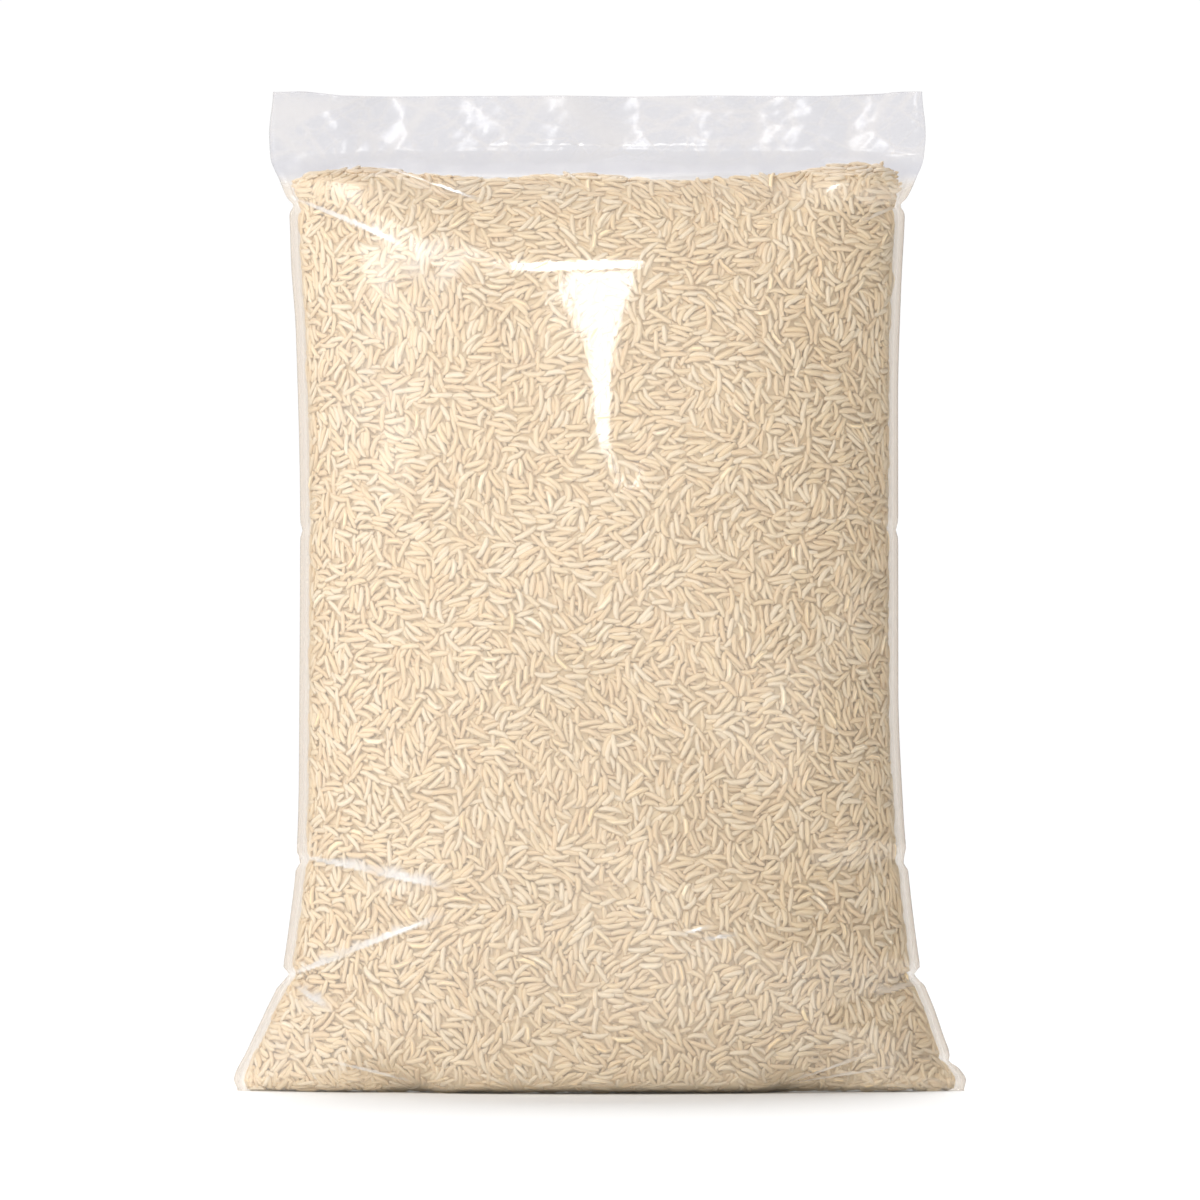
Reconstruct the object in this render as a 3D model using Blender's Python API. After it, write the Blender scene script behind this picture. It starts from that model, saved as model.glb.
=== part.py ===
"""A clear, sealed pillow bag of long-grain rice that stands on its own base.

Metres, +Z up. The origin is the middle of the flat base, the front looks along -Y and the side creases lie at -X
and +X. The bag is one piece of film round one filling, so it is one closed solid with the film's outer form: a
full belly, two corner ears that spread at the base, pinched necks, sloping shoulders and the flat empty header
above the seal. It is lofted from rings, and each ring is worked out from the bag's size at its height.
"""

import math

import bmesh
import bpy

# Overall heights
BAG_HEIGHT = 0.2897
SEAL_HEIGHT = 0.2735
NECK_HEIGHT = 0.2567

# How far the film reaches to each side of the middle, as (height, reach)
LEFT_REACH = (
    (0.0, 0.1050),
    (0.003, 0.1060),
    (0.0115, 0.1023),
    (0.023, 0.0969),
    (0.033, 0.0925),
    (0.047, 0.0902),
    (0.067, 0.0880),
    (0.090, 0.0873),
    (0.165, 0.0870),
    (0.220, 0.0883),
    (0.240, 0.0897),
    (0.252, 0.0901),
    (0.2567, 0.0905),
    (0.2636, 0.0929),
    (0.2706, 0.0957),
    (0.2775, 0.0961),
    (BAG_HEIGHT, 0.0950),
)
RIGHT_REACH = (
    (0.0, 0.1054),
    (0.003, 0.1060),
    (0.0067, 0.1039),
    (0.0115, 0.1012),
    (0.023, 0.0971),
    (0.033, 0.0934),
    (0.047, 0.0912),
    (0.067, 0.0890),
    (0.081, 0.0879),
    (0.116, 0.0865),
    (0.200, 0.0865),
    (0.232, 0.0874),
    (0.249, 0.0883),
    (0.2567, 0.0887),
    (0.2636, 0.0914),
    (0.2706, 0.0940),
    (0.2775, 0.0945),
    (BAG_HEIGHT, 0.0935),
)

# Half the bag's depth at its middle, as (height, half depth)
HALF_DEPTH = (
    (0.0, 0.0230),
    (0.0010, 0.0275),
    (0.0020, 0.0308),
    (0.0032, 0.0332),
    (0.0055, 0.0350),
    (0.011, 0.0368),
    (0.024, 0.0382),
    (0.070, 0.0387),
    (0.130, 0.0380),
    (0.185, 0.0362),
    (0.215, 0.0335),
    (0.233, 0.0298),
    (0.247, 0.0242),
    (0.257, 0.0174),
    (0.264, 0.0102),
    (0.269, 0.0040),
    (SEAL_HEIGHT, 0.0005),
    (BAG_HEIGHT, 0.0003),
)

# A ring's outline is (1 - x ** FULLNESS) ** TIP: a high fullness squares it, a high tip draws its ends to a point
FULLNESS = ((0.0, 2.0), (0.040, 2.4), (0.180, 2.5), (0.236, 3.2), (0.258, 4.2), (SEAL_HEIGHT, 4.6))
TIP = ((0.0, 0.80), (0.020, 0.70), (0.045, 0.57), (0.236, 0.54), (0.262, 0.62), (SEAL_HEIGHT, 0.9))

# The crease of the flat tube stands out as a lip of doubled film along both sides
LIP_REACH = 0.0022
LIP_HALF_THICKNESS = 0.0005

# Where the film is nipped in at a side, as (height, depth, half width)
SIDE_NIPS = (
    (0.0331, 0.0026, 0.0016),
    (0.0667, 0.0016, 0.0014),
    (0.1624, 0.0007, 0.0015),
    (NECK_HEIGHT, 0.0014, 0.0016),
)
RIGHT_EAR_NIP = (0.0087, 0.0017, 0.0014)
NIP_FALLOFF = 12

# Folds of the front and back, as (start x, start height, end x, end height, depth, half width)
FOLD_FALLOFF = 0.6
FRONT_FOLDS = (
    (-0.0523, 0.0000, -0.0730, 0.0070, 0.0068, 0.0052),
    (0.0521, 0.0000, 0.0800, 0.0030, 0.0066, 0.0048),
    (0.0640, 0.0100, 0.0860, 0.0030, 0.0016, 0.0030),
    (-0.0912, 0.0334, -0.0680, 0.0270, 0.0034, 0.0040),
    (0.0918, 0.0322, 0.0640, 0.0235, 0.0034, 0.0040),
    (-0.0885, 0.0667, -0.0450, 0.0590, 0.0024, 0.0038),
    (0.0890, 0.0667, 0.0600, 0.0640, 0.0020, 0.0038),
    (-0.0895, 0.2565, -0.0560, 0.2425, 0.0030, 0.0040),
    (0.0885, 0.2560, 0.0640, 0.2470, 0.0032, 0.0044),
    (-0.0560, 0.2690, -0.0330, 0.2560, 0.0022, 0.0050),
    (0.0560, 0.2680, 0.0480, 0.2560, 0.0020, 0.0060),
)
BACK_FOLDS = (
    (-0.0500, 0.0000, -0.0760, 0.0050, 0.0066, 0.0050),
    (0.0545, 0.0000, 0.0740, 0.0080, 0.0064, 0.0050),
    (-0.0912, 0.0330, -0.0700, 0.0300, 0.0030, 0.0040),
    (0.0918, 0.0334, 0.0660, 0.0420, 0.0034, 0.0040),
    (-0.0885, 0.0667, -0.0600, 0.0730, 0.0020, 0.0038),
    (0.0890, 0.0667, 0.0480, 0.0600, 0.0022, 0.0038),
    (-0.0890, 0.2560, -0.0600, 0.2440, 0.0030, 0.0045),
    (0.0885, 0.2565, 0.0500, 0.2440, 0.0030, 0.0042),
    (0.0400, 0.2680, 0.0260, 0.2550, 0.0022, 0.0055),
    (-0.0480, 0.2680, -0.0540, 0.2570, 0.0020, 0.0055),
)

# Where the rice heaps up under the film, as (x, height, half width, half height, rise)
SHOULDER_LOBES = (
    (0.0740, 0.2640, 0.0120, 0.0050, 0.0040),
    (-0.0700, 0.2640, 0.0150, 0.0045, 0.0026),
    (-0.0080, 0.2640, 0.0230, 0.0040, 0.0012),
)

# The smooth upright swelling that carries the front's main highlight: its middle, its size and, as (height, half
# width), how it broadens upwards
SWELL_X = 0.0008
SWELL_HEIGHT = 0.212
SWELL_HALF_WIDTH = 0.034
SWELL_HALF_HEIGHT = 0.040
SWELL_RISE = 0.0007
SWELL_WIDTHS = ((0.176, 0.0060), (0.200, 0.0105), (0.225, 0.0170), (0.245, 0.0240))

# The rice's own gentle unevenness, which starts above the base and ends just above the neck
LUMP_RISE = 0.0007
LUMP_WIDTH = 0.071
LUMP_HEIGHT = 0.083
FRONT_PHASE = 0.8
BACK_PHASE = 2.9
LUMP_START = 0.03
FILL_END = 0.2687

# The header's slack: a wave and a shorter, lower one, and a top edge that sags between its corners
HEADER_SWAY = 0.0014
HEADER_WAVE = 0.061
HEADER_RIPPLE = 0.0359
HEADER_PHASE = 0.6
TOP_EDGE_SAG = 0.0012
SAG_START = 0.088
SAG_END = 0.074

# Rings of the loft
BODY_STEPS = 18
LIP_STEPS = 2
LEVEL_STEP = 0.0055
BASE_LEVELS = (0.0, 0.0010, 0.0020, 0.0032, 0.0055)
HEADER_LEVELS = (0.2662, 0.2686, 0.2709, SEAL_HEIGHT, 0.2765, 0.2812, 0.2858, BAG_HEIGHT)
NIP_LEVELS = (-0.0026, -0.0012, 0.0, 0.0012, 0.0026)
LEAST_STEP = 0.0009
LEAST_GAP = 0.0024

RICE_COLOUR = (0.80, 0.63, 0.43, 1.0)
FILM_COLOUR = (0.80, 0.80, 0.83, 1.0)
FILM_ROUGHNESS = 0.18
SHARP_ANGLE = math.radians(50)


def clear_scene():
    for obj in list(bpy.data.objects):
        bpy.data.objects.remove(obj, do_unlink=True)


def ease(share):
    """Rises smoothly from 0 to 1 as share goes from 0 to 1."""
    share = min(max(share, 0.0), 1.0)
    return share * share * (3 - 2 * share)


def slope_at(stations, index):
    """The slope of the curve at a station: none at an end or a turn, and otherwise between its neighbours'."""
    if index in (0, len(stations) - 1):
        return 0.0
    (x0, y0), (x1, y1), (x2, y2) = stations[index - 1 : index + 2]
    before = (y1 - y0) / (x1 - x0)
    after = (y2 - y1) / (x2 - x1)
    if before * after <= 0:
        return 0.0
    return 2 * before * after / (before + after)


def curve_through(stations, height):
    """The value at a height of the smooth curve through the stations, which never overshoots them."""
    if height <= stations[0][0]:
        return stations[0][1]
    for index in range(len(stations) - 1):
        (x0, y0), (x1, y1) = stations[index : index + 2]
        if height <= x1:
            run = x1 - x0
            t = (height - x0) / run
            rise0 = slope_at(stations, index) * run
            rise1 = slope_at(stations, index + 1) * run
            return (
                y0 * (1 + 2 * t) * (1 - t) ** 2
                + rise0 * t * (1 - t) ** 2
                + y1 * t * t * (3 - 2 * t)
                + rise1 * t * t * (t - 1)
            )
    return stations[-1][1]


def bell(offset, half_width):
    return math.exp(-((offset / half_width) ** 2))


def reach_at(side, height):
    """How far the film reaches at this height, to the left for side -1 and to the right for side 1."""
    return curve_through(LEFT_REACH if side < 0 else RIGHT_REACH, height)


def nip_at(side, height):
    """How far the crease at this side is nipped in at this height."""
    nips = SIDE_NIPS if side < 0 else (*SIDE_NIPS, RIGHT_EAR_NIP)
    return sum(depth * bell(height - at, half) for at, depth, half in nips)


def fold_depth(folds, x, height):
    """How deep the folds of one face press in at a point. A fold is deepest at its start and fades to its end."""
    total = 0.0
    for x0, z0, x1, z1, depth, half in folds:
        run, rise = x1 - x0, z1 - z0
        along = ((x - x0) * run + (height - z0) * rise) / (run * run + rise * rise)
        along = min(max(along, 0.0), 1.0)
        away = math.hypot(x - x0 - along * run, height - z0 - along * rise)
        total += depth * (1 - along) ** FOLD_FALLOFF * bell(away, half)
    return total


def lobe_rise(x, height):
    return sum(
        rise * bell(x - at, half) * bell(height - level, tall)
        for at, level, half, tall, rise in SHOULDER_LOBES
    )


def lump_rise(face, x, height):
    """The gentle unevenness of the rice, which differs between the two faces and is calm round the swelling."""
    phase = FRONT_PHASE if face < 0 else BACK_PHASE
    across = math.sin(2 * math.pi * x / LUMP_WIDTH + phase)
    up = math.sin(2 * math.pi * height / LUMP_HEIGHT + 2 * phase)
    twist = math.sin(2 * math.pi * (x + height) / (LUMP_WIDTH + LUMP_HEIGHT) - phase)
    lumps = LUMP_RISE * (across * up + twist)
    if face > 0:
        return lumps
    upright = bell(height - SWELL_HEIGHT, SWELL_HALF_HEIGHT)
    calm = bell(x - SWELL_X, SWELL_HALF_WIDTH) * upright
    ridge = SWELL_RISE * bell(x - SWELL_X, curve_through(SWELL_WIDTHS, height)) * upright
    return lumps * (1 - calm) + ridge


def depth_at(face, x, inner, height):
    """The distance from the bag's middle plane out to its front (face -1) or back (face 1) film."""
    half = curve_through(HALF_DEPTH, height)
    share = min(abs(x) / inner, 1.0)
    outline = (1 - share ** curve_through(FULLNESS, height)) ** curve_through(TIP, height)
    filled = ease((FILL_END - height) / (FILL_END - NECK_HEIGHT))
    swell = lump_rise(face, x, height) * ease(height / LUMP_START) * filled
    folds = FRONT_FOLDS if face < 0 else BACK_FOLDS
    relief = lobe_rise(x, height) + swell - fold_depth(folds, x, height) * filled
    body = max(half * outline + relief * min(1.0, 2 * outline), 0.0)
    past = max(abs(x) - inner, 0.0) / LIP_REACH
    lip = LIP_HALF_THICKNESS * math.sqrt(max(1 - past * past, 0.0))
    return math.hypot(body, lip)


def ring_places():
    """Places round a ring, each as (side, step, face), from the left crease along the front and back again."""
    steps = BODY_STEPS + LIP_STEPS
    front = [(1 if step > 0 else -1, abs(step), -1) for step in range(-steps, steps + 1)]
    back = [(1 if step > 0 else -1, abs(step), 1) for step in range(steps - 1, -steps, -1)]
    return front + back


def film_point(place, height):
    """The point of the film at a place round the ring of this height."""
    side, step, face = place
    reach = reach_at(side, height)
    inner = reach - LIP_REACH
    if step <= BODY_STEPS:
        x = side * inner * math.sin(math.pi / 2 * step / BODY_STEPS)
    else:
        x = side * (inner + LIP_REACH * (step - BODY_STEPS) / LIP_STEPS)
    y = face * depth_at(face, x, inner, height)
    x -= side * nip_at(side, height) * (abs(x) / reach) ** NIP_FALLOFF
    slack = ease((height - NECK_HEIGHT) / (BAG_HEIGHT - NECK_HEIGHT))
    wave = math.sin(2 * math.pi * x / HEADER_WAVE + HEADER_PHASE)
    ripple = math.sin(2 * math.pi * x / HEADER_RIPPLE)
    y += HEADER_SWAY * slack * (wave + ripple / 2)
    sag = TOP_EDGE_SAG * ease((SAG_START - abs(x)) / (SAG_START - SAG_END))
    above_seal = max(height - SEAL_HEIGHT, 0.0) / (BAG_HEIGHT - SEAL_HEIGHT)
    return x, y, height - sag * above_seal


def ring_levels():
    """Heights of the rings: even over the belly, and closer at the base, at each nip and over the header."""
    count = round(BAG_HEIGHT / LEVEL_STEP)
    regular = [LEVEL_STEP * index for index in range(2, count) if LEVEL_STEP * index < HEADER_LEVELS[0]]
    fixed = [*BASE_LEVELS, *HEADER_LEVELS]
    for height, _, _ in (*SIDE_NIPS, RIGHT_EAR_NIP):
        fixed += [height + offset for offset in NIP_LEVELS]
    levels = sorted(fixed)
    kept = [levels[0]]
    for level in levels[1:]:
        if level - kept[-1] >= LEAST_STEP:
            kept.append(level)
    extra = [level for level in regular if min(abs(level - other) for other in kept) > LEAST_GAP]
    return sorted(kept + extra)


def make_material(name, colour):
    material = bpy.data.materials.new(name)
    material.use_nodes = True
    shader = material.node_tree.nodes["Principled BSDF"]
    shader.inputs["Base Color"].default_value = colour
    shader.inputs["Roughness"].default_value = FILM_ROUGHNESS
    shader.inputs["Metallic"].default_value = 0.0
    material.diffuse_color = colour
    return material


def loft_bag():
    """Extrudes the base's ring from level to level, moves each new ring into place and closes both ends."""
    places = ring_places()
    levels = ring_levels()
    mesh = bmesh.new()
    first = bmesh.ops.create_circle(mesh, segments=len(places), radius=1.0, cap_ends=False)["verts"]
    for vertex, place in zip(first, places, strict=True):
        vertex.co = film_point(place, levels[0])
    mesh.faces.new(first)
    ring = first
    for level in levels[1:]:
        edges = [mesh.edges.get((vertex, ring[index - 1])) for index, vertex in enumerate(ring)]
        made = bmesh.ops.extrude_edge_only(mesh, edges=edges)["geom"]
        raised = {item for item in made if isinstance(item, bmesh.types.BMVert)}
        risers = {}
        for vertex in raised:
            for edge in vertex.link_edges:
                risers[edge.other_vert(vertex)] = vertex
        ring = [risers[vertex] for vertex in ring]
        for vertex, place in zip(ring, places, strict=True):
            vertex.co = film_point(place, level)
    mesh.faces.new(ring)
    bmesh.ops.recalc_face_normals(mesh, faces=mesh.faces)
    return mesh


def make_bag():
    mesh = loft_bag()
    for face in mesh.faces:
        face.material_index = 1 if face.calc_center_median().z > SEAL_HEIGHT else 0
    data = bpy.data.meshes.new("rice_bag")
    mesh.to_mesh(data)
    mesh.free()
    data.materials.append(make_material("rice_behind_film", RICE_COLOUR))
    data.materials.append(make_material("clear_film", FILM_COLOUR))
    data.shade_smooth()
    data.set_sharp_from_angle(angle=SHARP_ANGLE)
    bag = bpy.data.objects.new("rice_bag", data)
    bpy.context.scene.collection.objects.link(bag)
    return bag


def main():
    clear_scene()
    make_bag()


main()
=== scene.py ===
# A clear bag of long-grain rice: its looks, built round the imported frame. Metres, +Z up, front along -Y
import math

import bmesh
import bpy
import numpy as np
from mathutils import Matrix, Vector, noise


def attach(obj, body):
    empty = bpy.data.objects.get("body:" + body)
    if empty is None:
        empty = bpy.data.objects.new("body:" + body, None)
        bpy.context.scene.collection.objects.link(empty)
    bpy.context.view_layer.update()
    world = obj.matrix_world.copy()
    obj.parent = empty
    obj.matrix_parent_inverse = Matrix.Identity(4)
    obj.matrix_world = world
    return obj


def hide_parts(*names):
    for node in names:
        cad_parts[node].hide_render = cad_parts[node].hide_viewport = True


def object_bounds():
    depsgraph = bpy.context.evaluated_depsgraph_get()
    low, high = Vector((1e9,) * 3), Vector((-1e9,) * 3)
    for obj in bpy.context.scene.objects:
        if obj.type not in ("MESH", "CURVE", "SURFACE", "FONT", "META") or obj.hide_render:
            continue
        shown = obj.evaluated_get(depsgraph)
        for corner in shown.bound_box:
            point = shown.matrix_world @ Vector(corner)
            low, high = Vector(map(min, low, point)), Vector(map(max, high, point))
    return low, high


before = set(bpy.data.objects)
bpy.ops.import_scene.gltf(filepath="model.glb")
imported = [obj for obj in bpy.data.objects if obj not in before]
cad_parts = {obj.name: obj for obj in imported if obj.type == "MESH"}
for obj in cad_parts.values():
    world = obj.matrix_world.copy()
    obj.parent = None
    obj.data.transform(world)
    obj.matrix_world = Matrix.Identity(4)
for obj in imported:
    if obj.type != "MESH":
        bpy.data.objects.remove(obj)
cadBox = [list(corner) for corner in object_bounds()]
print("frame loaded, box", cadBox)

# The bag's form, with the same driving sizes as its solid. Stations are (height, value) unless said
bagForm = {
    "height": cadBox[1][2],
    "seal": 0.2735,
    "neck": 0.2567,
    "leftReach": (
        (0.0, 0.1050), (0.003, 0.1060), (0.0115, 0.1023), (0.023, 0.0969), (0.033, 0.0925),
        (0.047, 0.0902), (0.067, 0.0880), (0.090, 0.0873), (0.165, 0.0870), (0.220, 0.0883),
        (0.240, 0.0897), (0.252, 0.0901), (0.2567, 0.0905), (0.2636, 0.0929), (0.2706, 0.0957),
        (0.2775, 0.0961), (0.2897, 0.0950),
    ),
    "rightReach": (
        (0.0, 0.1054), (0.003, 0.1060), (0.0067, 0.1039), (0.0115, 0.1012), (0.023, 0.0971),
        (0.033, 0.0934), (0.047, 0.0912), (0.067, 0.0890), (0.081, 0.0879), (0.116, 0.0865),
        (0.200, 0.0865), (0.232, 0.0874), (0.249, 0.0883), (0.2567, 0.0887), (0.2636, 0.0914),
        (0.2706, 0.0940), (0.2775, 0.0945), (0.2897, 0.0935),
    ),
    "halfDepth": (
        (0.0, 0.0230), (0.0010, 0.0275), (0.0020, 0.0308), (0.0032, 0.0332), (0.0055, 0.0350),
        (0.011, 0.0368), (0.024, 0.0382), (0.070, 0.0387), (0.130, 0.0380), (0.185, 0.0362),
        (0.215, 0.0335), (0.233, 0.0298), (0.247, 0.0242), (0.257, 0.0174), (0.264, 0.0102),
        (0.269, 0.0040), (0.2735, 0.0005), (0.2897, 0.0003),
    ),
    "fullness": ((0.0, 2.0), (0.040, 2.4), (0.180, 2.5), (0.236, 3.2), (0.258, 4.2), (0.2735, 4.6)),
    "tip": ((0.0, 0.80), (0.020, 0.70), (0.045, 0.57), (0.236, 0.54), (0.262, 0.62), (0.2735, 0.9)),
    "lipReach": 0.0022,
    "lipHalf": 0.0005,
    "lipStart": 0.92,                # share of a panel's half width where the lip of doubled film starts
    "nips": (
        (0.0331, 0.0026, 0.0016), (0.0667, 0.0016, 0.0014), (0.1624, 0.0007, 0.0015),
        (0.2567, 0.0014, 0.0016),
    ),
    "rightEarNip": (0.0087, 0.0017, 0.0014),
    "nipFalloff": 12,
    "foldFalloff": 0.6,
    # folds as (start x, start height, end x, end height, depth, half width)
    "frontFolds": (
        (-0.0523, 0.0000, -0.0730, 0.0070, 0.0068, 0.0052),
        (0.0521, 0.0000, 0.0800, 0.0030, 0.0066, 0.0048),
        (0.0640, 0.0100, 0.0860, 0.0030, 0.0016, 0.0030),
        (-0.0912, 0.0334, -0.0680, 0.0270, 0.0034, 0.0040),
        (0.0918, 0.0322, 0.0640, 0.0235, 0.0034, 0.0040),
        (-0.0885, 0.0667, -0.0450, 0.0590, 0.0024, 0.0038),
        (0.0890, 0.0667, 0.0600, 0.0640, 0.0020, 0.0038),
        (-0.0895, 0.2565, -0.0560, 0.2425, 0.0030, 0.0040),
        (0.0885, 0.2560, 0.0640, 0.2470, 0.0032, 0.0044),
        (-0.0560, 0.2690, -0.0330, 0.2560, 0.0022, 0.0050),
        (0.0560, 0.2680, 0.0480, 0.2560, 0.0020, 0.0060),
    ),
    "backFolds": (
        (-0.0500, 0.0000, -0.0760, 0.0050, 0.0066, 0.0050),
        (0.0545, 0.0000, 0.0740, 0.0080, 0.0064, 0.0050),
        (-0.0912, 0.0330, -0.0700, 0.0300, 0.0030, 0.0040),
        (0.0918, 0.0334, 0.0660, 0.0420, 0.0034, 0.0040),
        (-0.0885, 0.0667, -0.0600, 0.0730, 0.0020, 0.0038),
        (0.0890, 0.0667, 0.0480, 0.0600, 0.0022, 0.0038),
        (-0.0890, 0.2560, -0.0600, 0.2440, 0.0030, 0.0045),
        (0.0885, 0.2565, 0.0500, 0.2440, 0.0030, 0.0042),
        (0.0400, 0.2680, 0.0260, 0.2550, 0.0022, 0.0055),
        (-0.0480, 0.2680, -0.0540, 0.2570, 0.0020, 0.0055),
    ),
    # heaps under the shoulder as (x, height, half width, half height, rise)
    "lobes": (
        (0.0740, 0.2640, 0.0120, 0.0050, 0.0040),
        (-0.0700, 0.2640, 0.0150, 0.0045, 0.0026),
        (-0.0080, 0.2640, 0.0230, 0.0040, 0.0012),
    ),
    "lump": {"rise": 0.0007, "width": 0.071, "height": 0.083, "front": 0.8, "back": 2.9, "start": 0.03},
    # the smooth upright swelling that carries the main highlight
    "swell": {"x": 0.0008, "height": 0.212, "halfWidth": 0.034, "halfHeight": 0.040, "rise": 0.0007,
              "widths": ((0.176, 0.0060), (0.200, 0.0105), (0.225, 0.0170), (0.245, 0.0240))},
    "fillEnd": 0.2687,
    "header": {"sway": 0.0014, "wave": 0.061, "ripple": 0.0359, "phase": 0.6, "sag": 0.0012,
               "sagStart": 0.088, "sagEnd": 0.074},
}


def ease(share):
    share = np.clip(share, 0.0, 1.0)
    return share * share * (3 - 2 * share)


def bell(offset, halfWidth):
    return np.exp(-((offset / halfWidth) ** 2))


def curveThrough(stations, at):                      # smooth, and never past its stations
    xs, ys = np.array(stations, float).T
    runs = np.diff(xs)
    slopes = np.diff(ys) / runs
    product = slopes[:-1] * slopes[1:]
    total = np.where(product > 0, slopes[:-1] + slopes[1:], 1.0)
    tangents = np.concatenate([[0], np.where(product > 0, 2 * product / total, 0), [0]])
    at = np.clip(at, xs[0], xs[-1])
    i = np.clip(np.searchsorted(xs, at) - 1, 0, len(runs) - 1)
    t = (at - xs[i]) / runs[i]
    rise0, rise1 = tangents[i] * runs[i], tangents[i + 1] * runs[i]
    near = ys[i] * (1 + 2 * t) * (1 - t) ** 2 + rise0 * t * (1 - t) ** 2
    return near + ys[i + 1] * t * t * (3 - 2 * t) + rise1 * t * t * (t - 1)


def foldDepth(folds, x, z):
    total = np.zeros_like(x)
    for x0, z0, x1, z1, depth, half in folds:
        run, rise = x1 - x0, z1 - z0
        along = np.clip(((x - x0) * run + (z - z0) * rise) / (run * run + rise * rise), 0, 1)
        away = np.hypot(x - x0 - along * run, z - z0 - along * rise)
        total += depth * (1 - along) ** bagForm["foldFalloff"] * bell(away, half)
    return total


def lumpRise(face, x, z):
    lump = bagForm["lump"]
    phase = lump["front"] if face < 0 else lump["back"]
    across = np.sin(2 * math.pi * x / lump["width"] + phase)
    across = across * np.sin(2 * math.pi * z / lump["height"] + 2 * phase)
    twist = np.sin(2 * math.pi * (x + z) / (lump["width"] + lump["height"]) - phase)
    if face > 0:
        return lump["rise"] * (across + twist)
    swell = bagForm["swell"]
    upright = bell(z - swell["height"], swell["halfHeight"])
    calm = bell(x - swell["x"], swell["halfWidth"]) * upright
    ridge = swell["rise"] * bell(x - swell["x"], curveThrough(swell["widths"], z)) * upright
    return lump["rise"] * (across + twist) * (1 - calm) + ridge


def reachAt(side, z):
    return np.where(side < 0, curveThrough(bagForm["leftReach"], z), curveThrough(bagForm["rightReach"], z))


def bodyDepth(face, x, inner, z):                    # from the middle plane out to the film
    share = np.minimum(np.abs(x) / inner, 1.0)
    outline = (1 - share ** curveThrough(bagForm["fullness"], z)) ** curveThrough(bagForm["tip"], z)
    filled = ease((bagForm["fillEnd"] - z) / (bagForm["fillEnd"] - bagForm["neck"]))
    relief = lumpRise(face, x, z) * ease(z / bagForm["lump"]["start"]) * filled
    for at, level, half, tall, rise in bagForm["lobes"]:
        relief += rise * bell(x - at, half) * bell(z - level, tall)
    relief -= foldDepth(bagForm["frontFolds"] if face < 0 else bagForm["backFolds"], x, z) * filled
    depth = curveThrough(bagForm["halfDepth"], z) * outline
    return np.maximum(depth + relief * np.minimum(1, 2 * outline), 0)


def headerSway(x, z):
    header = bagForm["header"]
    slack = ease((z - bagForm["neck"]) / (bagForm["height"] - bagForm["neck"]))
    wave = np.sin(2 * math.pi * x / header["wave"] + header["phase"])
    return header["sway"] * slack * (wave + np.sin(2 * math.pi * x / header["ripple"]) / 2)


def nipAt(side, z):
    nip = np.zeros_like(z)
    for at, deep, half in bagForm["nips"]:
        nip += deep * bell(z - at, half)
    at, deep, half = bagForm["rightEarNip"]
    return nip + np.where(side > 0, deep * bell(z - at, half), 0)


def bagPoint(face, u, z, lip=True):                  # u runs from the left crease, -1, to the right one, 1
    side = np.where(u < 0, -1.0, 1.0)
    reach = reachAt(side, z)
    inner = reach - bagForm["lipReach"]
    across = np.abs(u)
    start = bagForm["lipStart"]
    onBody = np.sin(math.pi / 2 * np.minimum(across / start, 1))
    past = np.clip((across - start) / (1 - start), 0, 1)
    x = side * (inner * onBody + bagForm["lipReach"] * past)
    depth = bodyDepth(face, x, inner, z)
    if lip:
        depth = np.hypot(depth, bagForm["lipHalf"] * np.sqrt(1 - past * past))
    y = face * depth + headerSway(x, z)
    x = x - side * nipAt(side, z) * (np.abs(x) / reach) ** bagForm["nipFalloff"]
    header = bagForm["header"]
    sag = header["sag"] * ease((header["sagStart"] - np.abs(x)) / (header["sagStart"] - header["sagEnd"]))
    aboveSeal = np.maximum(z - bagForm["seal"], 0) / (bagForm["height"] - bagForm["seal"])
    return np.stack([x, y, z - sag * aboveSeal], -1)


def addNode(tree, kind, inputs=None, **settings):
    node = tree.nodes.new("ShaderNode" + kind)
    for key, value in settings.items():
        setattr(node, key, value)
    for key, value in (inputs or {}).items():
        if isinstance(value, bpy.types.NodeSocket):
            tree.links.new(value, node.inputs[key])
        else:
            node.inputs[key].default_value = value
    return node


def newMaterial(name):
    material = bpy.data.materials.new(name)
    material.use_nodes = True
    tree = material.node_tree
    tree.nodes.clear()
    return material, tree, addNode(tree, "OutputMaterial")


def addPiece(name, mesh, material):
    piece = bpy.data.objects.new(name, mesh)
    bpy.context.scene.collection.objects.link(piece)
    mesh.materials.append(material)
    mesh.shade_smooth()
    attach(piece, "root")
    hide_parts("rice_bag")
    return piece


def gridPlaces(mesh):                                # places round the bag, the front from -2 to 0, and up
    around = np.array([vertex.co.x for vertex in mesh.verts]) * 2
    return around, (np.array([vertex.co.y for vertex in mesh.verts]) + 1) / 2


def closeUp(mesh, name):                             # a tube of faces becomes a closed mesh
    bmesh.ops.remove_doubles(mesh, verts=mesh.verts, dist=1e-6)
    bmesh.ops.holes_fill(mesh, edges=[edge for edge in mesh.edges if edge.is_boundary], sides=0)
    bmesh.ops.recalc_face_normals(mesh, faces=mesh.faces)
    data = bpy.data.meshes.new(name)
    mesh.to_mesh(data)
    mesh.free()
    return data


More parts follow.
